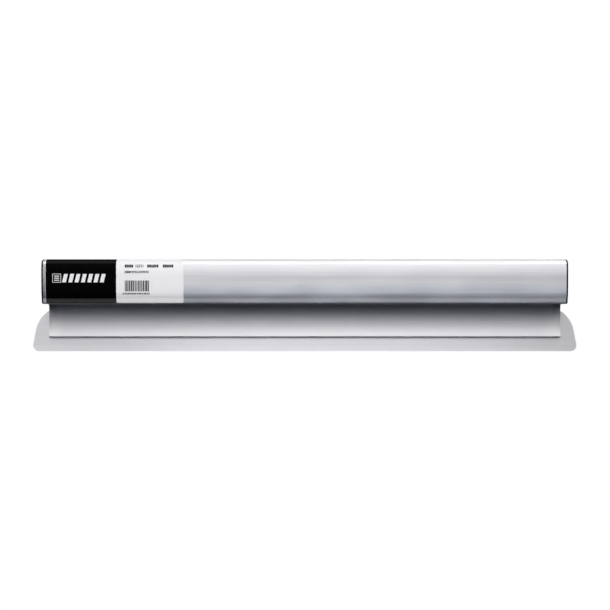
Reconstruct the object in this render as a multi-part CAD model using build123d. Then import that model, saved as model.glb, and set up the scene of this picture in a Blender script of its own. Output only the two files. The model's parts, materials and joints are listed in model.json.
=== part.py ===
"""Skimming blade for finishing plaster and drywall compound.

A hollow aluminium handle profile carries a long front lip. A thin stainless blade lies against the back of the
lip and is held there by a clamp bar, which seven cap screws with captive lock washers pull against the profile.
A screwed-on plastic cap closes each end of the profile, and two stickers wrap its front.

Frame, in millimetres: +X along the blade, -Y towards the front of the tool, +Z up from the blade to the handle.
The origin is the middle of the blade's working edge.
"""

from build123d import *
from math import asin, cos, radians, sin, sqrt, tan
import os

# ---------------------------------------------------------------- driving dimensions

# Blade: a flat strip with leaning ends, rounded toes and large swept shoulders.
BLADE_WIDTH = 600.0
BLADE_HEIGHT = 50.0
BLADE_THICKNESS = 0.5
BLADE_END_LEAN = radians(11.0)
BLADE_TOE_RADIUS = 6.5
BLADE_SHOULDER_RADIUS = 33.0

# Handle profile: one extrusion, cut square.
PROFILE_LENGTH = 563.2
WALL = 2.0
TOP_Z = 100.6
FRONT_Y = -26.0
BACK_Y = 5.0
BROW_RADIUS = 100.0
BROW_Z = 85.1
FLAT_TOP_Z = 83.0
FLAT_BOTTOM_Z = 71.0
CHEEK_RADIUS = 134.0
CHEEK_BOTTOM_Z = 64.0
JAW_RADIUS = 29.0
CREASE_Z = 58.2
CHIN_LEAN = radians(8.5)
CHIN_Z = 52.2
CHIN_RADIUS = 2.2
TOP_DOME_RISE = 0.5
TOP_FRONT_RADIUS = 5.8
TOP_BACK_RADIUS = 10.0
SMALL_RADIUS = 0.8

# Lip: hollow-ground front, flat back on the blade's plane, and a chamfer under its bead down to a thin foot.
LIP_BOTTOM_Z = 15.1
LIP_BEAD_Z = 16.5
LIP_TOP_Z = 52.0
LIP_TOP_Y = -3.1
LIP_MIDDLE_Y = -1.57
LIP_BEAD_Y = -2.8
LIP_FOOT_Y = -0.9
LIP_EDGE_RADIUS = 0.3
LIP_ROOT_RADIUS = 1.5

# Clamp seat on the back of the profile, above the blade.
BLADE_STOP_CLEARANCE = 0.2
SEAT_TOP_Z = 66.5
BAR_SIDE_GAP = 0.4
BAR_THICKNESS = 4.0
BAR_NOSE_THICKNESS = 1.6
BAR_BOTTOM_Z = 20.0
BAR_TAPER_Z = 46.0
BAR_END_GAP = 0.5
BOSS_DEPTH = 4.75
BOSS_HALF_HEIGHT = 5.0

# Clamp screws: M4 button heads with a hex socket and a captive split lock washer.
CLAMP_SCREW_COUNT = 7
CLAMP_SCREW_PITCH = 88.0
CLAMP_SCREW_Z = 58.5
THREAD_RADIUS = 2.0
SHANK_RADIUS = 1.95
SHANK_LENGTH = 8.0
BAR_HOLE_RADIUS = 2.25
COUNTERBORE_RADIUS = 4.2
COUNTERBORE_DEPTH = 2.6
HEAD_RADIUS = 3.8
HEAD_HEIGHT = 2.2
HEAD_RIM_HEIGHT = 0.4
HEAD_FLAT_RADIUS = 1.9
HEAD_BULGE = 0.4
THREAD_POINT = 0.4
SOCKET_FLATS = 2.5
SOCKET_DEPTH = 1.3
WASHER_OUTER_RADIUS = 3.7
WASHER_INNER_RADIUS = 2.1
WASHER_THICKNESS = 0.9
WASHER_SPLIT = 0.7
WASHER_SPLIT_LEAN = 25.0

# End caps: a flange over the profile's end, with fins that plug into the hollow.
CAP_FLANGE = 2.1
CAP_EDGE_RADIUS = 1.5
CAP_FIN_DEPTH = 12.0
CAP_FIN_THICKNESS = 1.6
CAP_FIT_GAP = 0.25
CAP_FIN_TAPER = 0.5

# Cap screws: countersunk self-tappers, in open screw ports inside the profile.
PORT_CENTRES = ((-11.0, 95.8), (-17.5, 57.4))
PORT_OUTER_RADIUS = 3.4
PORT_BORE_RADIUS = 1.3
PORT_MOUTH = 1.2
CAP_SCREW_RADIUS = 1.25
CAP_SCREW_LENGTH = 13.0
CAP_SCREW_HEAD_RADIUS = 2.7
CAP_HOLE_RADIUS = 1.5
CAP_SLOT_WIDTH = 0.6
CAP_SLOT_DEPTH = 0.6

# Stickers around the front of the handle, near its left end.
LABEL_THICKNESS = 0.12
LABEL_START_X = -278.6
LABEL_SPLIT_X = -202.8
LABEL_END_X = -130.5
LABEL_TOP_Y = -13.0
LABEL_BOTTOM_Z = 52.9
LABEL_CORNER_RADIUS = 2.0

# ---------------------------------------------------------------- places worked out from them

HALF_LENGTH = PROFILE_LENGTH / 2
FLAT_LEAN = asin((BROW_Z - FLAT_TOP_Z) / BROW_RADIUS)
CHEEK_LEAN = asin(sin(FLAT_LEAN) + (FLAT_BOTTOM_Z - CHEEK_BOTTOM_Z) / CHEEK_RADIUS)
LIP_BACK_Y = -BLADE_THICKNESS / 2
SEAT_Y = BLADE_THICKNESS / 2
SEAT_BOTTOM_Z = BLADE_HEIGHT + BLADE_STOP_CLEARANCE
BAR_BACK_Y = SEAT_Y + BAR_THICKNESS
WASHER_SEAT_Y = BAR_BACK_Y - COUNTERBORE_DEPTH
HEAD_SEAT_Y = WASHER_SEAT_Y + WASHER_THICKNESS
CAP_SCREW_HEAD_HEIGHT = CAP_SCREW_HEAD_RADIUS - CAP_SCREW_RADIUS


def brow_y(z):
    """Depth of the handle's front above its flat."""
    return FRONT_Y + BROW_RADIUS - sqrt(BROW_RADIUS**2 - (z - BROW_Z) ** 2)


def flat_y(z):
    """Depth of the handle's flat, which leans on from the foot of the brow."""
    return brow_y(FLAT_TOP_Z) + (FLAT_TOP_Z - z) * tan(FLAT_LEAN)


def turning_y(z, start_y, start_z, start_lean, radius):
    """Depth along an arc that carries on downwards from a place where the front leans by start_lean."""
    centre_y = start_y + radius * cos(start_lean)
    centre_z = start_z + radius * sin(start_lean)
    return centre_y - sqrt(radius**2 - (z - centre_z) ** 2)


def cheek_y(z):
    """Depth of the handle's front below its flat, where it starts to turn under."""
    return turning_y(z, flat_y(FLAT_BOTTOM_Z), FLAT_BOTTOM_Z, FLAT_LEAN, CHEEK_RADIUS)


def jaw_y(z):
    """Depth of the handle's front where it turns under tightly, down to the crease."""
    return turning_y(z, cheek_y(CHEEK_BOTTOM_Z), CHEEK_BOTTOM_Z, CHEEK_LEAN, JAW_RADIUS)


def arc_between(depth, low_z, high_z):
    """The arc along a depth function between two heights."""
    heights = (low_z, (low_z + high_z) / 2, high_z)
    return ThreePointArc(*[(depth(z), z) for z in heights])


def corner_nearest(face, y, z):
    """The corner of a section that lies closest to a point."""
    return min(face.vertices(), key=lambda v: (v.X - y) ** 2 + (v.Y - z) ** 2)


def along_x(section, start_x, end_x):
    """A section drawn as (depth, height) and extruded between two stations along the blade."""
    return extrude(Plane.YZ.offset(start_x) * section, end_x - start_x)


def clamp_screw_stations():
    """Where the clamp screws stand along the blade."""
    first = -CLAMP_SCREW_PITCH * (CLAMP_SCREW_COUNT - 1) / 2
    return [first + CLAMP_SCREW_PITCH * i for i in range(CLAMP_SCREW_COUNT)]


def facing_back(x, y, z):
    """A plane at a point whose normal points out of the back of the tool."""
    return Plane(origin=(x, y, z), x_dir=(1, 0, 0), z_dir=(0, 1, 0))


# ---------------------------------------------------------------- sections of the extrusion


def handle_outline(seat_cut=True):
    """The outside of the hollow grip, with or without the step that the clamp bar sits in."""
    corner_z = TOP_Z - TOP_DOME_RISE
    front_top = (brow_y(corner_z), corner_z)
    back_top = (BACK_Y, corner_z)
    brow = arc_between(brow_y, FLAT_TOP_Z, corner_z)
    flat = Line((brow_y(FLAT_TOP_Z), FLAT_TOP_Z), (cheek_y(FLAT_BOTTOM_Z), FLAT_BOTTOM_Z))
    cheek = arc_between(cheek_y, CHEEK_BOTTOM_Z, FLAT_BOTTOM_Z)
    jaw = arc_between(jaw_y, CREASE_Z, CHEEK_BOTTOM_Z)
    dome = ThreePointArc(front_top, ((front_top[0] + BACK_Y) / 2, TOP_Z), back_top)
    crease = (jaw_y(CREASE_Z), CREASE_Z)
    chin = (crease[0] + (CREASE_Z - CHIN_Z) * tan(CHIN_LEAN), CHIN_Z)
    if seat_cut:
        rest = Polyline(
            back_top,
            (BACK_Y, SEAT_TOP_Z),
            (SEAT_Y, SEAT_TOP_Z),
            (SEAT_Y, SEAT_BOTTOM_Z),
            (LIP_TOP_Y, SEAT_BOTTOM_Z),
            (LIP_TOP_Y, LIP_TOP_Z),
            chin,
            crease,
        )
    else:
        rest = Polyline(back_top, (BACK_Y, SEAT_BOTTOM_Z), (LIP_TOP_Y, LIP_TOP_Z), chin, crease)
    face = make_face(brow + flat + cheek + jaw + dome + rest)
    rounds = [(front_top, TOP_FRONT_RADIUS), (back_top, TOP_BACK_RADIUS), (chin, CHIN_RADIUS)]
    if seat_cut:
        rounds.append(((BACK_Y, SEAT_TOP_Z), SMALL_RADIUS))
    else:
        rounds.append(((BACK_Y, SEAT_BOTTOM_Z), TOP_FRONT_RADIUS))
    for (y, z), radius in rounds:
        face = fillet(corner_nearest(face, y, z), radius)
    return face


def lip_section():
    """The lip: a hollow-ground front between its bead and the grip, and a flat back for the blade."""
    middle_z = (LIP_BEAD_Z + LIP_TOP_Z) / 2
    root_z = LIP_TOP_Z + 1.0
    bead = (LIP_BEAD_Y, LIP_BEAD_Z)
    front = ThreePointArc(bead, (LIP_MIDDLE_Y, middle_z), (LIP_TOP_Y, LIP_TOP_Z))
    rest = Polyline(
        (LIP_TOP_Y, LIP_TOP_Z),
        (LIP_TOP_Y, root_z),
        (LIP_BACK_Y, root_z),
        (LIP_BACK_Y, LIP_BOTTOM_Z),
        (LIP_FOOT_Y, LIP_BOTTOM_Z),
        bead,
    )
    face = make_face(front + rest)
    return fillet(corner_nearest(face, *bead), LIP_EDGE_RADIUS)


def grip_hollow():
    """The chamber inside the grip, one wall thickness in."""
    return offset(handle_outline(), -WALL, kind=Kind.ARC)


def thread_boss():
    """The thick strip of back wall that the clamp screws are tapped into."""
    boss = Rectangle(BOSS_DEPTH, 2 * BOSS_HALF_HEIGHT, align=(Align.MAX, Align.CENTER))
    return Pos(SEAT_Y, CLAMP_SCREW_Z) * boss


def screw_ports():
    """Round screw ports on the chamber's walls, each with a mouth towards the chamber's middle."""
    top, bottom = PORT_CENTRES
    ports = Sketch()
    for (y, z), side in ((top, -1), (bottom, 1)):
        mouth = Pos(0, side * PORT_OUTER_RADIUS / 2) * Rectangle(PORT_MOUTH, PORT_OUTER_RADIUS)
        ring = Circle(PORT_OUTER_RADIUS) - Circle(PORT_BORE_RADIUS) - mouth
        ports += Pos(y, z) * ring
    return ports


def profile_section():
    """The whole extrusion: grip, lip, thread boss and screw ports."""
    shell = handle_outline() + lip_section() - grip_hollow()
    inside = (thread_boss() + screw_ports()) & handle_outline()
    section = shell + inside
    for y, z in PORT_CENTRES:
        section -= Pos(y, z) * Circle(PORT_BORE_RADIUS)
    return fillet(corner_nearest(section, LIP_TOP_Y, LIP_TOP_Z), LIP_ROOT_RADIUS)


# ---------------------------------------------------------------- sub-parts


def handle_profile():
    """The extrusion, drilled and tapped for the clamp screws."""
    body = along_x(profile_section(), -HALF_LENGTH, HALF_LENGTH)
    for x in clamp_screw_stations():
        hole = Cylinder(THREAD_RADIUS, BOSS_DEPTH + WALL, align=(Align.CENTER, Align.CENTER, Align.MAX))
        body -= facing_back(x, SEAT_Y, CLAMP_SCREW_Z) * hole
    return body


def blade():
    """A trapezium whose bottom corners round off to the full blade width and whose top corners sweep in."""
    toe_x = BLADE_WIDTH / 2 - BLADE_TOE_RADIUS

    def end_x(z):
        reach = BLADE_TOE_RADIUS - (z - BLADE_TOE_RADIUS) * sin(BLADE_END_LEAN)
        return toe_x + reach / cos(BLADE_END_LEAN)

    bottom, top = end_x(0), end_x(BLADE_HEIGHT)
    corners = [(-bottom, 0), (bottom, 0), (top, BLADE_HEIGHT), (-top, BLADE_HEIGHT)]
    outline = make_face(Polyline(*corners, close=True))
    outline = fillet(outline.vertices().group_by(Axis.Y)[0], BLADE_TOE_RADIUS)
    outline = fillet(outline.vertices().group_by(Axis.Y)[-1], BLADE_SHOULDER_RADIUS)
    return extrude(Plane.XZ.offset(-BLADE_THICKNESS / 2) * outline, BLADE_THICKNESS)


def clamp_bar():
    """A flat bar across the blade's back and the seat, tapering to a thin nose, with a counterbore per screw."""
    top_z = SEAT_TOP_Z - BAR_SIDE_GAP
    nose_y = SEAT_Y + BAR_NOSE_THICKNESS
    corners = [
        (SEAT_Y, BAR_BOTTOM_Z),
        (SEAT_Y, top_z),
        (BAR_BACK_Y, top_z),
        (BAR_BACK_Y, BAR_TAPER_Z),
        (nose_y, BAR_BOTTOM_Z),
    ]
    section = make_face(Polyline(*corners, close=True))
    section = fillet(corner_nearest(section, nose_y, BAR_BOTTOM_Z), SMALL_RADIUS)
    section = fillet(corner_nearest(section, BAR_BACK_Y, top_z), SMALL_RADIUS)
    bar = along_x(section, BAR_END_GAP - HALF_LENGTH, HALF_LENGTH - BAR_END_GAP)
    for x in clamp_screw_stations():
        out_of_back = facing_back(x, BAR_BACK_Y, CLAMP_SCREW_Z)
        down = (Align.CENTER, Align.CENTER, Align.MAX)
        bar -= out_of_back * Cylinder(BAR_HOLE_RADIUS, BAR_THICKNESS, align=down)
        bar -= out_of_back * Cylinder(COUNTERBORE_RADIUS, COUNTERBORE_DEPTH, align=down)
    return bar


def clamp_screw(x):
    """An M4 button-head screw, its domed head outwards."""
    rim = (HEAD_RADIUS, HEAD_RIM_HEIGHT)
    flat = (HEAD_FLAT_RADIUS, HEAD_HEIGHT)
    dome = SagittaArc(rim, flat, -HEAD_BULGE)
    rest = Polyline(
        flat,
        (0, HEAD_HEIGHT),
        (0, -SHANK_LENGTH),
        (SHANK_RADIUS - THREAD_POINT, -SHANK_LENGTH),
        (SHANK_RADIUS, THREAD_POINT - SHANK_LENGTH),
        (SHANK_RADIUS, 0),
        (HEAD_RADIUS, 0),
        rim,
    )
    turned = revolve(Plane.XZ * make_face(dome + rest), Axis.Z)
    socket = extrude(RegularPolygon(SOCKET_FLATS / 2, 6, major_radius=False), -SOCKET_DEPTH)
    turned -= Pos(0, 0, HEAD_HEIGHT) * socket
    return facing_back(x, HEAD_SEAT_Y, CLAMP_SCREW_Z) * turned


def lock_washer(x):
    """A split ring between the screw's head and the floor of the counterbore."""
    ring = Circle(WASHER_OUTER_RADIUS) - Circle(WASHER_INNER_RADIUS)
    cut = Pos(0, WASHER_OUTER_RADIUS) * Rot(0, 0, WASHER_SPLIT_LEAN)
    split = cut * Rectangle(WASHER_SPLIT, 2 * WASHER_OUTER_RADIUS)
    return facing_back(x, WASHER_SEAT_Y, CLAMP_SCREW_Z) * extrude(ring - split, WASHER_THICKNESS)


def end_cap(side):
    """A flange over the grip's end and a ring of fins in the hollow; side is -1 for left and 1 for right."""
    flange = along_x(handle_outline(seat_cut=False), HALF_LENGTH, HALF_LENGTH + CAP_FLANGE)
    flange = fillet(flange.faces().sort_by(Axis.X)[-1].edges(), CAP_EDGE_RADIUS)
    outer = offset(grip_hollow(), -CAP_FIT_GAP, kind=Kind.INTERSECTION)
    inner = offset(grip_hollow(), -CAP_FIT_GAP - CAP_FIN_THICKNESS, kind=Kind.INTERSECTION)
    fins = outer - inner
    for y, z in PORT_CENTRES:
        room = 2 * (PORT_OUTER_RADIUS + 2 * CAP_FIT_GAP)
        fins -= Pos(y, z) * Rectangle(room, 2 * room)
    boss_room = Rectangle(
        BOSS_DEPTH + 2 * CAP_FIT_GAP, 2 * (BOSS_HALF_HEIGHT + CAP_FIT_GAP), align=(Align.MAX, Align.CENTER)
    )
    fins -= Pos(SEAT_Y, CLAMP_SCREW_Z) * boss_room
    cap = flange + along_x(fins, HALF_LENGTH - CAP_FIN_DEPTH, HALF_LENGTH)
    for y, z in PORT_CENTRES:
        outward = Plane(origin=(HALF_LENGTH + CAP_FLANGE, y, z), z_dir=(1, 0, 0))
        down = (Align.CENTER, Align.CENTER, Align.MAX)
        cap -= outward * Cylinder(CAP_HOLE_RADIUS, 2 * CAP_FLANGE, align=down)
        depth = CAP_SCREW_HEAD_RADIUS - CAP_HOLE_RADIUS
        cap -= outward * Cone(CAP_HOLE_RADIUS, CAP_SCREW_HEAD_RADIUS, depth, align=down)
    return cap if side > 0 else mirror(cap, Plane.YZ)


def cap_screw(side, y, z):
    """A countersunk self-tapping screw, flush with the cap's flange, with a cross recess."""
    down = (Align.CENTER, Align.CENTER, Align.MAX)
    reach = CAP_SCREW_LENGTH - CAP_SCREW_HEAD_HEIGHT
    head = Cone(CAP_SCREW_RADIUS, CAP_SCREW_HEAD_RADIUS, CAP_SCREW_HEAD_HEIGHT, align=down)
    shank = Pos(0, 0, -CAP_SCREW_HEAD_HEIGHT) * Cylinder(CAP_SCREW_RADIUS, reach, align=down)
    screw = chamfer((head + shank).edges().sort_by(Axis.Z)[0], CAP_SCREW_RADIUS / 2)
    arm = Box(2 * CAP_SCREW_HEAD_RADIUS * 0.6, CAP_SLOT_WIDTH, CAP_SLOT_DEPTH, align=down)
    screw -= arm + Rot(0, 0, 90) * arm
    outward = Plane(origin=(HALF_LENGTH + CAP_FLANGE, y, z), z_dir=(1, 0, 0))
    placed = outward * screw
    return placed if side > 0 else mirror(placed, Plane.YZ)


def label(start_x, end_x):
    """A sticker that follows the grip from its underside, up the front and over the top."""
    skin = offset(handle_outline(), LABEL_THICKNESS, kind=Kind.ARC) - handle_outline()
    reach = LABEL_TOP_Y - (FRONT_Y - 1)
    height = TOP_Z + 1 - LABEL_BOTTOM_Z
    front_half = Pos(FRONT_Y - 1, LABEL_BOTTOM_Z) * Rectangle(reach, height, align=(Align.MIN, Align.MIN))
    sheet = along_x(skin & front_half, start_x, end_x)
    middle_x = (start_x + end_x) / 2
    window = RectangleRounded(end_x - start_x, 2 * height, LABEL_CORNER_RADIUS)
    window = Pos(middle_x, LABEL_BOTTOM_Z + height) * window
    trim = extrude(Plane.XZ.offset(-LABEL_TOP_Y) * window, reach)
    return sheet & trim


# ---------------------------------------------------------------- the assembly


def sub_parts():
    """Every node of the assembly, by name."""
    parts = {
        "handle_profile": handle_profile(),
        "blade": blade(),
        "clamp_bar": clamp_bar(),
        "end_cap_left": end_cap(-1),
        "end_cap_right": end_cap(1),
        "label_black": label(LABEL_START_X, LABEL_SPLIT_X),
        "label_white": label(LABEL_SPLIT_X, LABEL_END_X),
    }
    for number, x in enumerate(clamp_screw_stations(), start=1):
        parts[f"clamp_screw_{number}"] = clamp_screw(x)
        parts[f"lock_washer_{number}"] = lock_washer(x)
    for side, side_name in ((-1, "left"), (1, "right")):
        for (y, z), place in zip(PORT_CENTRES, ("top", "bottom")):
            parts[f"cap_screw_{side_name}_{place}"] = cap_screw(side, y, z)
    return parts


os.makedirs("parts", exist_ok=True)
for name, shape in sub_parts().items():
    export_step(shape, f"parts/{name}.step")
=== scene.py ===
"""Looks, light and camera for the drywall skimming blade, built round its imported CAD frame. Metres."""

import json
import math
import random

import bmesh
import bpy
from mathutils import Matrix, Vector
from mathutils.bvhtree import BVHTree

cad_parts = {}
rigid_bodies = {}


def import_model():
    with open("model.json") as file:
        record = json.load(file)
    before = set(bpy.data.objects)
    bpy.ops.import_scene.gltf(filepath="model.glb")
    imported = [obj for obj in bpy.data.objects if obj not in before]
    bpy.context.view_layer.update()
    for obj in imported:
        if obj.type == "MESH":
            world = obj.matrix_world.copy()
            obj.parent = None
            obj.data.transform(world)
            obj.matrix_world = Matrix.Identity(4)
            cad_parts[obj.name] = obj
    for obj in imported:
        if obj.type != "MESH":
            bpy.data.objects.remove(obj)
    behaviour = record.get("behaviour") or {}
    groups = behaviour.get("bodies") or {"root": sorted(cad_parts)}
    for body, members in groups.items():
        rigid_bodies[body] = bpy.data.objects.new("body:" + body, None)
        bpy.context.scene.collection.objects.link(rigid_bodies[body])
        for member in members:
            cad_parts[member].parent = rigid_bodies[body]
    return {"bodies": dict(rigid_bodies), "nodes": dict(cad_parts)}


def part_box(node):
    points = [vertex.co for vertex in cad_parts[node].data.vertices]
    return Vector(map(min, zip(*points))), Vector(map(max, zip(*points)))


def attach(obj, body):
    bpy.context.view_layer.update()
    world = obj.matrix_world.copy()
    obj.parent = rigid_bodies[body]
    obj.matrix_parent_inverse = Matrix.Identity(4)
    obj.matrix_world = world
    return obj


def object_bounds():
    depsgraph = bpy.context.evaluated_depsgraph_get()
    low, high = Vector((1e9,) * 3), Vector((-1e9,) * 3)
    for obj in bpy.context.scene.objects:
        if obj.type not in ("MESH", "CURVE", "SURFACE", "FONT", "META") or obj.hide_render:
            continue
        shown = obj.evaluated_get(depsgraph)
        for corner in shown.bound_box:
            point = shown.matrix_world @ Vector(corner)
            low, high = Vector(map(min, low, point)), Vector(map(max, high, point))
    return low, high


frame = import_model()
cad_lo, cad_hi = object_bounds()

scene = bpy.context.scene
MM = 0.001

# ---------------------------------------------------------------- node helpers

# The Mix node's sockets: its factor, and the pair that it mixes as numbers or as colours.
MIX_FACTOR, MIX_NUMBERS, MIX_COLOURS = 0, (2, 3), (6, 7)
# How far apart two noises are along X, Y and Z when their seeds differ by one, in cycles.
SEED_STEP = (1.0, 1.7, 2.3)
BEVEL_SAMPLES = 4
# How far a bevel turns the surface where wear starts to show and where it is complete, as 1 minus the cosine.
WORN_TURN = (0.02, 0.35)

TO_WORLD = {"vector_type": "VECTOR", "convert_from": "OBJECT", "convert_to": "WORLD"}
TO_CAMERA = {"vector_type": "VECTOR", "convert_from": "WORLD", "convert_to": "CAMERA"}


class Nodes:
    """A node tree, with short calls for adding and joining nodes."""

    def __init__(self, owner, out_kind, coords="Object"):
        owner.use_nodes = True
        self.owner = owner
        self.tree = owner.node_tree
        self.tree.nodes.clear()
        self.out = self.tree.nodes.new(out_kind)
        self.coords = self.tree.nodes.new("ShaderNodeTexCoord").outputs[coords]

    def put(self, socket, value):
        """Joins value to a socket when it is an output, and sets the socket's own value otherwise."""
        if isinstance(value, bpy.types.NodeSocket):
            self.tree.links.new(value, socket)
        elif value is not None:
            socket.default_value = value

    def add(self, kind, settings=None, **inputs):
        node = self.tree.nodes.new(kind)
        for key, value in (settings or {}).items():
            setattr(node, key, value)
        for key, value in inputs.items():
            self.put(node.inputs[key.replace("_", " ")], value)
        return node

    def math(self, operation, a, b=None):
        node = self.add("ShaderNodeMath", {"operation": operation})
        for socket, value in zip(node.inputs, (a, b)):
            self.put(socket, value)
        return node.outputs[0]

    def flip(self, value):
        """1 minus value."""
        return self.math("SUBTRACT", 1.0, value)

    def swing(self, base, noise, size):
        """base, raised and lowered by how far the noise is from its middle, times size."""
        return self.math("ADD", base, self.math("MULTIPLY", self.math("SUBTRACT", noise, 0.5), size))

    def ramp(self, value, low, high, out_low=0.0, out_high=1.0):
        """A clamped straight-line change of value from low..high to out_low..out_high."""
        node = self.add("ShaderNodeMapRange", {"clamp": True})
        for socket, number in zip(node.inputs, (value, low, high, out_low, out_high)):
            self.put(socket, number)
        return node.outputs[0]

    def levels(self, value, points):
        """Straight lines between (place, level) points, and the end points' levels outside them."""
        total = points[0][1]
        for (a, level_a), (b, level_b) in zip(points, points[1:]):
            if level_a != level_b:
                total = self.math("ADD", total, self.ramp(value, a, b, 0.0, level_b - level_a))
        return total

    def axes(self, vector):
        """The three parts of a vector, as outputs."""
        return self.add("ShaderNodeSeparateXYZ", Vector=vector).outputs

    def turned(self, settings, vector):
        """A vector in other axes: TO_WORLD or TO_CAMERA."""
        return self.add("ShaderNodeVectorTransform", settings, Vector=vector).outputs[0]

    def noise(self, stretch, detail, seed, rough=0.55, turn=(0.0, 0.0, 0.0)):
        """Noise whose frequency along each axis is stretch, in cycles per metre."""
        place = self.add("ShaderNodeMapping", Vector=self.coords, Scale=stretch, Rotation=turn)
        place.inputs["Location"].default_value = [seed * step for step in SEED_STEP]
        settings = {"Scale": 1.0, "Detail": detail, "Roughness": rough}
        return self.add("ShaderNodeTexNoise", Vector=place.outputs[0], **settings).outputs["Fac"]

    def mix(self, factor, a, b):
        """Colours mixed from a to b by factor."""
        node = self.add("ShaderNodeMix", {"data_type": "RGBA", "clamp_factor": True})
        for socket, value in zip((MIX_FACTOR, *MIX_COLOURS), (factor, a, b)):
            self.put(node.inputs[socket], value)
        return node.outputs[2]

    def blend(self, factor, a, b):
        """Numbers mixed from a to b by factor."""
        node = self.add("ShaderNodeMix", {"data_type": "FLOAT"})
        for socket, value in zip((MIX_FACTOR, *MIX_NUMBERS), (factor, a, b)):
            self.put(node.inputs[socket], value)
        return node.outputs[0]

    def bevel(self, radius):
        return self.add("ShaderNodeBevel", {"samples": BEVEL_SAMPLES}, Radius=radius).outputs[0]

    def edge(self, radius):
        """1 on sharp outer edges, falling to 0 a radius away from them."""
        dot = self.add("ShaderNodeVectorMath", {"operation": "DOT_PRODUCT"})
        self.put(dot.inputs[0], self.bevel(radius))
        self.put(dot.inputs[1], self.add("ShaderNodeNewGeometry").outputs["Normal"])
        return self.ramp(self.flip(dot.outputs["Value"]), *WORN_TURN)

    def bump(self, height, distance, normal):
        return self.add("ShaderNodeBump", Height=height, Distance=distance, Normal=normal).outputs[0]

    def choose(self, factor, a, b):
        """Shader a where factor is 0, and shader b where it is 1."""
        node = self.add("ShaderNodeMixShader", Fac=factor)
        for socket, shader in zip(node.inputs[1:], (a, b)):
            self.put(socket, shader.outputs[0])
        return node

    def surface(self, **inputs):
        """The finishing principled shader. Gives the tree's owner back."""
        return self.finish(self.add("ShaderNodeBsdfPrincipled", **inputs))

    def finish(self, shader):
        self.put(self.out.inputs["Surface"], shader.outputs[0])
        return self.owner


def material_nodes(name):
    return Nodes(bpy.data.materials.new(name), "ShaderNodeOutputMaterial")


def grey(value, blue=0.0):
    return (value, value, value * (1.0 + blue), 1.0)


# ---------------------------------------------------------------- where materials change

BLADE_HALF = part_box("blade")[1].x
PROFILE_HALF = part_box("handle_profile")[1].x
RIDGE_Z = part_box("handle_profile")[1].z
STICKERS_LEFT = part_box("label_black")[0].x
STICKERS_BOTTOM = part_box("label_black")[0].z


def places(origin, points):
    """(place, level) points, from points whose places are millimetres past the origin."""
    return [(origin + past * MM, level) for past, level in points]


# Painted shade, darkening the aluminium's colour: how much light it keeps under the ridge and at each
# distance from the middle of the lip, and how much it loses up the bare strip of grip, which starts over a
# millimetre from the black sticker's edge.
RIDGE_PAINTED_SHADE = places(RIDGE_Z, ((-3.8, 1.0), (-3.3, 0.55), (-2.3, 0.55), (-1.8, 0.88)))
LIP_END_PAINTED_SHADE = places(PROFILE_HALF, ((-11.0, 1.0), (-5.5, 0.72), (-3.0, 0.48), (0.0, 0.2)))
STRIP_PAINTED_SHADE = places(STICKERS_BOTTOM, ((4.3, 0.0), (5.6, 0.65), (15.1, 0.6), (29.1, 0.4)))
STRIP_EDGE = (STICKERS_LEFT, STICKERS_LEFT - 1.0 * MM)
# The painted shade on the lip's ends grows between these heights, up to where the grip starts.
LIP_SHADE_HEIGHTS = (STICKERS_BOTTOM - 32.9 * MM, STICKERS_BOTTOM - 4.9 * MM)
GRIP_START = (STICKERS_BOTTOM - 1.4 * MM, STICKERS_BOTTOM - 0.4 * MM)
# Painted shade: how far the grip turns to this darker, bluer grey, from where it curves under, in place of
# the cool low light that it reflects.
COOL_SHADE_GREY = (0.68, 0.71, 0.76, 1.0)
GRIP_COOL_SHADE = places(STICKERS_BOTTOM, ((-0.7, 0.0), (0.3, 1.0), (11.1, 1.0), (24.1, 0.0)))
# Painted shade on the blade, darkening its colour: how much light it keeps, from its left end and its right
# end inwards.
BLADE_PAINTED_SHADE = places(-BLADE_HALF, ((10, 0.88), (100, 0.9), (200, 1.0)))
BLADE_PAINTED_SHADE += places(BLADE_HALF, ((-200, 0.96), (-100, 0.9), (-40, 0.79), (-10, 0.73)))
# How far each sticker turns to its second colour: a painted reflection on the black one under the chin, and
# painted shade on the white one along the ridge.
BLACK_PAINTED_REFLECTION = places(STICKERS_BOTTOM, ((4.1, 1.0), (5.5, 0.0)))
WHITE_PAINTED_SHADE = places(RIDGE_Z, ((-5.6, 0.0), (-3.8, 0.6), (-2.1, 0.75)))


def steel_painted_shade(n):
    """Painted shade: the blade's colour darkens towards its two ends."""
    return n.levels(n.axes(n.coords)["X"], BLADE_PAINTED_SHADE)


def aluminium_cool_shade(n):
    """Painted shade: the grip turns a darker, bluer grey where it curves under."""
    return n.levels(n.axes(n.coords)["Z"], GRIP_COOL_SHADE)


def aluminium_painted_shade(n):
    """Painted shade: the profile's colour darkens along its top edge, beside the black sticker and at the two
    ends of the lip.
    """
    place = n.axes(n.coords)
    ridge = n.levels(place["Z"], RIDGE_PAINTED_SHADE)
    strip = n.math("MULTIPLY", n.ramp(place["X"], *STRIP_EDGE), n.levels(place["Z"], STRIP_PAINTED_SHADE))
    lip_end = n.flip(n.levels(n.math("ABSOLUTE", place["X"]), LIP_END_PAINTED_SHADE))
    lip_end = n.math("MULTIPLY", lip_end, n.ramp(place["Z"], *LIP_SHADE_HEIGHTS))
    lip_end = n.math("MULTIPLY", lip_end, n.flip(n.ramp(place["Z"], *GRIP_START)))
    return n.math("MULTIPLY", n.math("MULTIPLY", ridge, n.flip(strip)), n.flip(lip_end))


# ---------------------------------------------------------------- materials

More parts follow.
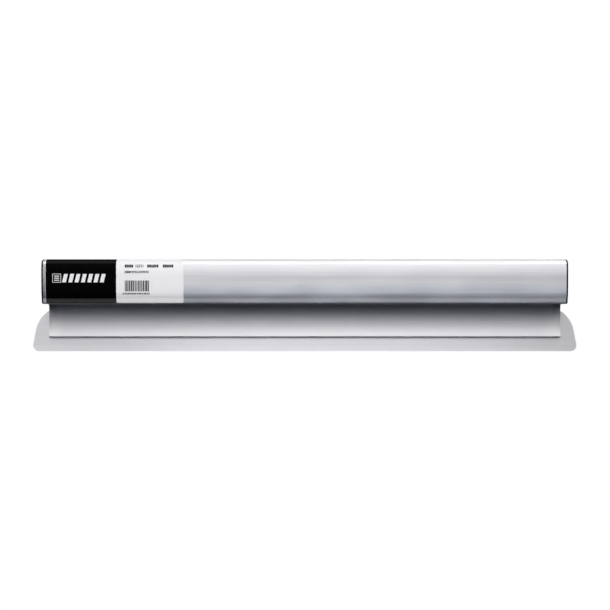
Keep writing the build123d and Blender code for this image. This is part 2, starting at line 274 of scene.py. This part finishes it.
# How often each kind of mark repeats along X, Y and Z, in cycles per metre.
HAIRLINES = (7.0, 2600.0, 2600.0)
DIE_LINES = (1.3, 420.0, 420.0)
SMUDGES = (22.0, 22.0, 60.0)
SCRATCHES = (60.0, 1500.0, 1500.0)
PLASTIC_GRAIN = (2300.0,) * 3
PLASTIC_CLOUDS = (70.0,) * 3
ORANGE_PEEL = (420.0,) * 3
SCUFFS = (240.0, 900.0, 90.0)
INK_PINHOLES = (1900.0,) * 3
INK_FILM = (130.0,) * 3

# How far scratches and scuffs are turned from the object's axes, in radians.
SCRATCH_TURN = (0.0, 0.18, 0.12)
SCUFF_TURN = (0.0, 0.5, 0.0)

# Brushed metal. The brushing runs along X, and spreads highlights a quarter turn from that.
BRUSHED_ALONG = (1.0, 0.0, 0.0)
SPREAD_TURN = 0.25
# The die lines' share of the streaks' tone, and how deep lines and scratches are next to the streaks.
LINE_SHARE = 0.45
LINE_DEPTH, SCRATCH_DEPTH = 0.7, 0.8
# How bright smudges and worn edges are next to the streaks, and how far wear changes an edge's colour and its
# roughness.
SMUDGE_TONE = 0.95
WORN_TONE, BRIGHTEST = 1.06, 0.97
WORN_COLOUR, WORN_POLISH = 0.6, 0.08
# How far the rims of plastic and vinyl turn to their rubbed colour.
RUBBED = 0.5


def brushed_metal(name, dark, light, blue, rough, spread, drawn, streak, seed, painted_shade=None, cool_shade=None):
    """Metal brushed along X: fine streaks, wider die lines, faint smudges, scratches and brighter worn edges.

    dark and light are the greys of its streaks, and blue is how far they lean to blue. spread is how far the
    streaks swing its roughness, drawn is how far highlights spread across them, and streak is their depth.
    The next to last argument gives how much light is left at each place, as painted shade, and the last how
    far the metal turns to a darker, bluer grey, also painted shade."""
    n = material_nodes(name)
    hair = n.noise(HAIRLINES, detail=5.0, rough=0.62, seed=seed)
    line = n.noise(DIE_LINES, detail=3.0, rough=0.5, seed=seed + 3.1)
    smudge = n.noise(SMUDGES, detail=3.0, rough=0.55, seed=seed + 7.7)
    scratch = n.noise(SCRATCHES, detail=1.0, seed=seed + 11.0, turn=SCRATCH_TURN)
    scratch = n.ramp(scratch, low=0.735, high=0.76)
    worn = n.edge(radius=0.25 * MM)

    tone = n.ramp(n.blend(LINE_SHARE, hair, line), low=0.35, high=0.65)
    smudged = n.ramp(smudge, low=0.45, high=0.75, out_high=0.35)
    bright = grey(min(light * WORN_TONE, BRIGHTEST), blue / 2)
    colour = n.mix(tone, grey(dark, blue), grey(light, blue))
    colour = n.mix(smudged, colour, grey(dark * SMUDGE_TONE, blue))
    colour = n.mix(n.math("MULTIPLY", worn, WORN_COLOUR), colour, bright)
    # Painted shade: a darker, bluer grey low on the grip.
    if cool_shade:
        colour = n.mix(cool_shade(n), colour, COOL_SHADE_GREY)
    # Painted shade: the colour darkens towards black where less light is left.
    if painted_shade:
        colour = n.mix(n.flip(painted_shade(n)), colour, grey(0.0))

    roughness = n.swing(rough, hair, spread)
    roughness = n.math("ADD", roughness, n.ramp(smudge, low=0.4, high=0.7, out_low=-0.02, out_high=0.04))
    roughness = n.math("SUBTRACT", roughness, n.math("MULTIPLY", worn, WORN_POLISH))

    height = n.math("ADD", hair, n.math("MULTIPLY", line, LINE_DEPTH))
    height = n.math("SUBTRACT", height, n.math("MULTIPLY", scratch, SCRATCH_DEPTH))
    return n.surface(
        Base_Color=colour,
        Metallic=1.0,
        Roughness=roughness,
        Anisotropic=drawn,
        Anisotropic_Rotation=SPREAD_TURN,
        Tangent=n.turned(TO_WORLD, BRUSHED_ALONG),
        Normal=n.bump(height, streak, n.bevel(radius=0.15 * MM)),
    )


def moulded_plastic(name, seed):
    """Black plastic with a fine spark-eroded grain and paler rubbed edges."""
    n = material_nodes(name)
    grain = n.noise(PLASTIC_GRAIN, detail=3.0, rough=0.6, seed=seed)
    cloud = n.noise(PLASTIC_CLOUDS, detail=3.0, seed=seed + 2.0)
    worn = n.edge(radius=0.3 * MM)
    colour = n.mix(n.ramp(cloud, low=0.35, high=0.7), grey(0.008, blue=0.05), grey(0.015, blue=0.05))
    colour = n.mix(n.math("MULTIPLY", worn, RUBBED), colour, grey(0.025, blue=0.03))
    return n.surface(
        Base_Color=colour,
        Roughness=n.swing(0.42, grain, size=0.25),
        Specular_IOR_Level=0.2,
        Normal=n.bump(grain, 0.03 * MM, n.bevel(radius=0.2 * MM)),
    )


def vinyl(name, base, scuffed, rough, shine, seed, painted_light_colour, painted_light_levels):
    """A printed vinyl sticker: slight orange peel, faint scuffs and a rubbed rim. Up the grip it turns to its
    second colour as the given levels say: painted light, a painted reflection on the black sticker and
    painted shade on the white one."""
    n = material_nodes(name)
    peel = n.noise(ORANGE_PEEL, detail=2.0, seed=seed)
    scuff = n.noise(SCUFFS, detail=3.0, seed=seed + 5.0, turn=SCUFF_TURN)
    worn = n.edge(radius=0.2 * MM)
    colour = n.mix(n.ramp(scuff, low=0.6, high=0.85, out_high=0.5), base, scuffed)
    colour = n.mix(n.math("MULTIPLY", worn, RUBBED), colour, scuffed)
    # Painted light: a painted reflection under the black sticker's chin, painted shade along the white one's
    # ridge.
    colour = n.mix(n.levels(n.axes(n.coords)["Z"], painted_light_levels), colour, painted_light_colour)
    return n.surface(
        Base_Color=colour,
        Roughness=n.swing(rough, scuff, size=0.2),
        Specular_IOR_Level=shine,
        Normal=n.bump(peel, 0.02 * MM, n.bevel(radius=0.06 * MM)),
    )


def ink(name, solid, thin, seed):
    """Screen-printed ink: tiny pinholes and a faintly uneven film."""
    n = material_nodes(name)
    pinhole = n.noise(INK_PINHOLES, detail=2.0, seed=seed)
    film = n.noise(INK_FILM, detail=2.0, seed=seed + 4.0)
    colour = n.mix(n.ramp(pinhole, low=0.62, high=0.8, out_high=0.6), solid, thin)
    colour = n.mix(n.ramp(film, low=0.5, high=0.8, out_high=0.3), colour, thin)
    return n.surface(
        Base_Color=colour,
        Roughness=n.ramp(film, low=0.3, high=0.7, out_low=0.4, out_high=0.55),
        Specular_IOR_Level=0.3,
        Normal=n.bump(pinhole, 0.01 * MM, n.bevel(radius=0.03 * MM)),
    )


METALS = {
    "anodised_aluminium": dict(
        dark=0.71, light=0.79, blue=0.0, rough=0.40, spread=0.16, drawn=0.8, streak=0.004 * MM, seed=1.0,
        painted_shade=aluminium_painted_shade, cool_shade=aluminium_cool_shade,
    ),
    "brushed_bar": dict(
        dark=0.66, light=0.77, blue=0.03, rough=0.42, spread=0.16, drawn=0.7, streak=0.006 * MM, seed=21.0,
    ),
    "stainless_steel": dict(
        dark=0.885, light=0.955, blue=0.0, rough=0.54, spread=0.10, drawn=0.6, streak=0.003 * MM, seed=41.0,
        painted_shade=steel_painted_shade,
    ),
    "zinc_steel": dict(
        dark=0.52, light=0.60, blue=0.02, rough=0.28, spread=0.10, drawn=0.3, streak=0.003 * MM, seed=61.0,
    ),
    "spring_steel": dict(
        dark=0.30, light=0.38, blue=0.02, rough=0.35, spread=0.12, drawn=0.3, streak=0.004 * MM, seed=81.0,
    ),
}
VINYLS = {
    "black_vinyl": dict(
        base=grey(0.0012), scuffed=grey(0.004), rough=0.2, shine=0.04, seed=9.0,
        painted_light_colour=grey(0.045), painted_light_levels=BLACK_PAINTED_REFLECTION,
    ),
    "white_vinyl": dict(
        base=grey(0.98), scuffed=grey(0.93), rough=0.30, shine=0.3, seed=13.0,
        painted_light_colour=grey(0.45), painted_light_levels=WHITE_PAINTED_SHADE,
    ),
}

materials = {name: brushed_metal(name, **settings) for name, settings in METALS.items()}
materials["black_plastic"] = moulded_plastic("black_plastic", seed=5.0)
materials.update((name, vinyl(name, **settings)) for name, settings in VINYLS.items())
white_ink = ink("white_ink", solid=grey(0.95), thin=grey(0.7), seed=17.0)
black_ink = ink("black_ink", solid=grey(0.005), thin=grey(0.03), seed=19.0)

# The material of each node, by its whole name or by how its name starts.
NODE_MATERIALS = {
    "handle_profile": "anodised_aluminium",
    "blade": "stainless_steel",
    "clamp_bar": "brushed_bar",
    "clamp_screw": "zinc_steel",
    "lock_washer": "spring_steel",
    "end_cap": "black_plastic",
    "cap_screw": "zinc_steel",
    "label_black": "black_vinyl",
    "label_white": "white_vinyl",
}
for node_name, node in frame["nodes"].items():
    kind = next(kind for kind in NODE_MATERIALS if node_name.startswith(kind))
    for slot in node.material_slots:
        slot.material = materials[NODE_MATERIALS[kind]]

# ---------------------------------------------------------------- printing on the stickers
# Outlines are in millimetres, from the lower left corner of the sticker that they are printed on.

PRINT_THICKNESS = 0.03 * MM
PRINT_STEP = 1.0 * MM
# A cut leaves whole what ends closer to it than this, so that it makes no slivers.
CUT_MARGIN = 0.01 * MM
# How far in front of a sticker the rays that find its surface start.
RAY_START = 0.1


def front_finder(node_name):
    """A function that gives the depth of a sticker's front at (x, z), for drawing on it."""
    node = frame["nodes"][node_name]
    points = [node.matrix_world @ v.co for v in node.data.vertices]
    tree = BVHTree.FromPolygons(points, [tuple(p.vertices) for p in node.data.polygons])
    start_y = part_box(node_name)[0].y - RAY_START

    def depth(x, z):
        return tree.ray_cast(Vector((x, start_y, z)), Vector((0.0, 1.0, 0.0)))[0].y

    return depth


def printed(name, node_name, outlines, material):
    """A film of ink with its back on a sticker. Each outline is wound anticlockwise as seen from the front,
    and is cut into strips that follow the sticker's curve."""
    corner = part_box(node_name)[0]
    depth = front_finder(node_name)
    bm = bmesh.new()
    for outline in outlines:
        bm.faces.new([bm.verts.new((corner.x + x * MM, 0.0, corner.z + z * MM)) for x, z in outline])
    low = min(v.co.z for v in bm.verts)
    high = max(v.co.z for v in bm.verts)
    for i in range(1, math.ceil((high - low) / PRINT_STEP)):
        everything = bm.verts[:] + bm.edges[:] + bm.faces[:]
        cut = Vector((0.0, 0.0, low + i * PRINT_STEP))
        bmesh.ops.bisect_plane(bm, geom=everything, dist=CUT_MARGIN, plane_co=cut, plane_no=(0.0, 0.0, 1.0))
    for v in bm.verts:
        v.co.y = depth(v.co.x, v.co.z) - PRINT_THICKNESS
    mesh = bpy.data.meshes.new(name)
    bm.to_mesh(mesh)
    bm.free()
    mesh.materials.append(material)
    piece = bpy.data.objects.new(name, mesh)
    scene.collection.objects.link(piece)
    film = piece.modifiers.new("film", "SOLIDIFY")
    film.thickness = PRINT_THICKNESS
    film.offset = -1.0
    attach(piece, "handle")


def rectangle(x, z, width, height, slant=0.0):
    """An upright rectangle from its lower left corner, with its top moved right by slant."""
    return [(x, z), (x + width, z), (x + width + slant, z + height), (x + slant, z + height)]


def square_frame(x, z, size, line):
    """The four bars of a square frame."""
    return [
        rectangle(x, z, size, line),
        rectangle(x, z + size - line, size, line),
        rectangle(x, z + line, line, size - 2 * line),
        rectangle(x + size - line, z + line, line, size - 2 * line),
    ]


# Black sticker: a square frame round three lines, then a row of slanted bars.
EMBLEM_X, EMBLEM_Z, EMBLEM_SIZE = 7.2, 22.3, 9.4
EMBLEM_FRAME_LINE = 0.5
EMBLEM_LINES, EMBLEM_LINE_HEIGHT, EMBLEM_LINE_PITCH, EMBLEM_MARGIN = 3, 0.9, 2.2, 2.0

STRIPES_START_X, STRIPES_END_X, STRIPES_Z, STRIPES_HEIGHT = 17.6, 64.6, 22.4, 9.1
STRIPES, STRIPE_SLANT, STRIPE_GAP = 7, 2.2, 2.6


def emblem():
    """The square frame and its three lines."""
    outlines = square_frame(EMBLEM_X, EMBLEM_Z, EMBLEM_SIZE, EMBLEM_FRAME_LINE)
    x, z = EMBLEM_X + EMBLEM_MARGIN, EMBLEM_Z + EMBLEM_MARGIN
    width = EMBLEM_SIZE - 2 * EMBLEM_MARGIN
    for i in range(EMBLEM_LINES):
        outlines.append(rectangle(x, z + i * EMBLEM_LINE_PITCH, width, EMBLEM_LINE_HEIGHT))
    return outlines


def slanted_bars():
    """Equal bars that fill the row, from the first one's foot to the last one's top."""
    pitch = (STRIPES_END_X - STRIPE_SLANT - STRIPES_START_X + STRIPE_GAP) / STRIPES
    width = pitch - STRIPE_GAP
    starts = [STRIPES_START_X + i * pitch for i in range(STRIPES)]
    return [rectangle(x, STRIPES_Z, width, STRIPES_HEIGHT, STRIPE_SLANT) for x in starts]


# White sticker: two lines of stand-in words, and upright bars of random widths over a row of small marks.
# Each line is its foot and height, and each word is its start and end along X, its line and its stems' width.
UPPER_LINE = (38.4, 3.2)
LOWER_LINE = (32.3, 2.6)
WORDS = (
    (9.3, 18.8, *UPPER_LINE, 1.0),
    (20.8, 28.3, *UPPER_LINE, 0.4),
    (33.3, 45.8, *UPPER_LINE, 1.0),
    (50.3, 61.3, *UPPER_LINE, 1.0),
    (9.3, 14.3, *LOWER_LINE, 0.75),
    (15.2, 33.7, *LOWER_LINE, 0.5),
)
# The range of a letter's width and of its crossbar's place, as shares of the height, and the gap after it.
LETTER_WIDTHS = (0.55, 0.75)
CROSSBAR_PLACES = (0.1, 0.9)
LETTER_GAP = 0.3

BARS_START_X, BARS_END_X, BARS_Z, BARS_HEIGHT = 9.3, 35.1, 12.7, 11.7
BAR_WIDTHS = (0.4, 0.66, 0.9, 1.3)
BAR_GAPS = (0.33, 0.33, 0.5, 0.66)

MARKS_START_X, MARKS_Z = 7.1, 9.4
MARK_WIDTH, MARK_HEIGHT = 1.1, 1.9
MARK_PITCHES = (1.6, 1.8, 2.0)


def word_blocks(rng, x, end_x, z, height, stem):
    """A stand-in for a printed word, which spells nothing: pairs of stems with a crossbar, or solid blocks
    where the stems would touch."""
    outlines = []
    while x + stem < end_x:
        width = rng.uniform(*LETTER_WIDTHS) * height
        bar_z = z + rng.uniform(*CROSSBAR_PLACES) * (height - stem)
        if width > 2 * stem:
            outlines.append(rectangle(x, z, stem, height))
            outlines.append(rectangle(x + stem, bar_z, width - 2 * stem, stem))
            outlines.append(rectangle(x + width - stem, z, stem, height))
        else:
            outlines.append(rectangle(x, z, width, height))
        x += width + LETTER_GAP
    return outlines


def upright_bars(rng):
    """Bars of random widths, then the marks under them."""
    outlines = []
    x = BARS_START_X
    while x < BARS_END_X:
        width = rng.choice(BAR_WIDTHS)
        outlines.append(rectangle(x, BARS_Z, width, BARS_HEIGHT))
        x += width + rng.choice(BAR_GAPS)
    x = MARKS_START_X
    while x < BARS_END_X:
        outlines.append(rectangle(x, MARKS_Z, MARK_WIDTH, MARK_HEIGHT))
        x += rng.choice(MARK_PITCHES)
    return outlines


rng = random.Random(7)
words = [outline for word in WORDS for outline in word_blocks(rng, *word)]
printed("print_emblem", "label_black", emblem(), white_ink)
printed("print_slanted_bars", "label_black", slanted_bars(), white_ink)
printed("print_word_blocks", "label_white", words, black_ink)
printed("print_upright_bars", "label_white", upright_bars(rng), black_ink)

# ---------------------------------------------------------------- stage, light and camera

scene.view_settings.view_transform = "Standard"
scene.view_settings.look = "None"

WHITE = (1.0, 1.0, 1.0, 1.0)

# How bright the studio is in front of the object and behind it, at each height above the camera's level in
# degrees.
FRONT_LIGHT = [(-2, 0.425), (0, 0), (9, 0.212), (16, 0.81), (26, 1.49), (38, 4.45), (52, 5.62)]
FRONT_LIGHT += [(68, 1.87), (90, 0.425)]
BACK_LIGHT = [(-2, 0.89), (4, 1.02), (16, 1.02), (26, 0.94), (38, 0.71), (52, 0.34), (90, 0.17)]
# How much of the front light is left at each sideways part of the direction it comes from.
SIDE_LIGHT = [(0, 1.12), (0.3, 1), (0.7, 0.35), (1, 0.2)]
# How strongly the floor glows in reflections, at each distance from the object's middle plane. The floor is
# no lamp, so this glow is painted light, standing in for the light and shade round the object.
FLOOR_LIGHT = [(0, 0.32), (0.012, 0.1), (0.025, 0), (0.4, 0), (1, 0.54), (3.9, 0.77)]
# The studio's light is cooler below the first of these heights and warmer above the second.
COLOUR_HEIGHTS = (math.radians(8), math.radians(28))
LOW_COLOUR = (0.74, 0.82, 1.0, 1.0)
HIGH_COLOUR = (1.0, 0.98, 1.0, 1.0)

# A camera that looks up or down by the first angle starts to get a plain sky instead, and has nothing else
# from the second angle on. The sky's levels go by the upward part of the light's direction.
TILT_ANGLES = (math.radians(4), math.radians(22))
SKY_LIGHT = [(-0.2, 0.5), (0, 0.6), (0.3, 1.0), (0.75, 1.45), (1, 0.95)]
SKY_FLOOR = [(0, 0.15), (0.04, 0.3), (0.12, 0.78), (0.35, 0.95), (2.0, 1.2)]
SKY_COLOUR = (0.93, 0.95, 1.0, 1.0)

FLOOR_HALF = 3.9
FLOOR_GAP = 0.3 * MM

# The camera's place: in front of the handle, just right of its middle and above the blade's edge.
CAMERA_DISTANCE = 0.944
CAMERA_X = 0.00027
CAMERA_HEIGHT = 0.0510
CAMERA_SENSOR, CAMERA_LENS = 36.0, 51.82
CAMERA_CLIP_START = 0.01


def seen_as_white(n, shader, kind):
    """White to the camera, and the given shader to everything else."""
    white = n.add(kind, Color=WHITE, Strength=1.0)
    return n.choose(n.add("ShaderNodeLightPath").outputs["Is Camera Ray"], shader, white)


def tilted(n):
    """How far the camera looks up or down: 0 near level, 1 from the second of the tilt angles on."""
    up = n.turned(TO_CAMERA, (0.0, 0.0, 1.0))
    return n.ramp(n.axes(up)["Y"], *map(math.cos, TILT_ANGLES))


def studio_world():
    """Soft light that stays in place round a level camera, and a plain bright sky for one that looks up or
    down."""
    n = Nodes(bpy.data.worlds.new("studio"), "ShaderNodeOutputWorld", "Generated")
    direction = n.axes(n.turned(TO_CAMERA, n.coords))
    height = n.math("ARCSINE", direction["Y"])

    def by_angle(points):
        return n.levels(height, [(math.radians(degrees), level) for degrees, level in points])

    sides = n.levels(n.math("ABSOLUTE", direction["X"]), SIDE_LIGHT)
    front = n.math("MULTIPLY", by_angle(FRONT_LIGHT), sides)
    behind = n.math("GREATER_THAN", direction["Z"], 0.0)
    studio = n.blend(behind, front, by_angle(BACK_LIGHT))
    sky = n.levels(n.axes(n.coords)["Z"], SKY_LIGHT)
    colour = n.mix(n.ramp(height, *COLOUR_HEIGHTS), LOW_COLOUR, HIGH_COLOUR)
    colour = n.mix(tilted(n), colour, SKY_COLOUR)
    light = n.add("ShaderNodeBackground", Color=colour, Strength=n.blend(tilted(n), studio, sky))
    return n.finish(seen_as_white(n, light, "ShaderNodeBackground"))


def glowing_floor():
    """A glowing floor, clear from below: white to the camera, and a glow of painted light to everything else.
    """
    n = material_nodes("glowing_floor")
    away = n.math("ABSOLUTE", n.axes(n.coords)["Y"])
    level = n.blend(tilted(n), n.levels(away, FLOOR_LIGHT), n.levels(away, SKY_FLOOR))
    colour = n.mix(tilted(n), LOW_COLOUR, SKY_COLOUR)
    glow = n.add("ShaderNodeEmission", Color=colour, Strength=level)
    top = seen_as_white(n, glow, "ShaderNodeEmission")
    clear = n.add("ShaderNodeBsdfTransparent")
    return n.finish(n.choose(n.add("ShaderNodeNewGeometry").outputs["Backfacing"], top, clear))


def studio_floor():
    """The floor that the blade's edge stands just above, wherever the blade has slid to."""
    z = cad_lo.z - FLOOR_GAP
    mesh = bpy.data.meshes.new("studio_floor")
    corners = [(x * FLOOR_HALF, y * FLOOR_HALF, z) for x, y in ((-1, -1), (1, -1), (1, 1), (-1, 1))]
    mesh.from_pydata(corners, [], [(0, 1, 2, 3)])
    mesh.materials.append(glowing_floor())
    floor = bpy.data.objects.new("studio_floor", mesh)
    scene.collection.objects.link(floor)
    follow = floor.constraints.new("COPY_LOCATION")
    follow.target = frame["bodies"]["blade"]
    follow.use_x = follow.use_y = False


def front_camera():
    """A level camera, square to the front and just under a metre off."""
    data = bpy.data.cameras.new("camera")
    data.sensor_width = CAMERA_SENSOR
    data.lens = CAMERA_LENS
    data.clip_start = CAMERA_CLIP_START
    camera = bpy.data.objects.new("camera", data)
    camera.location = (CAMERA_X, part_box("handle_profile")[0].y - CAMERA_DISTANCE, CAMERA_HEIGHT)
    camera.rotation_euler = (math.radians(90), 0.0, 0.0)
    scene.collection.objects.link(camera)
    return camera


scene.world = studio_world()
studio_floor()
scene.camera = front_camera()
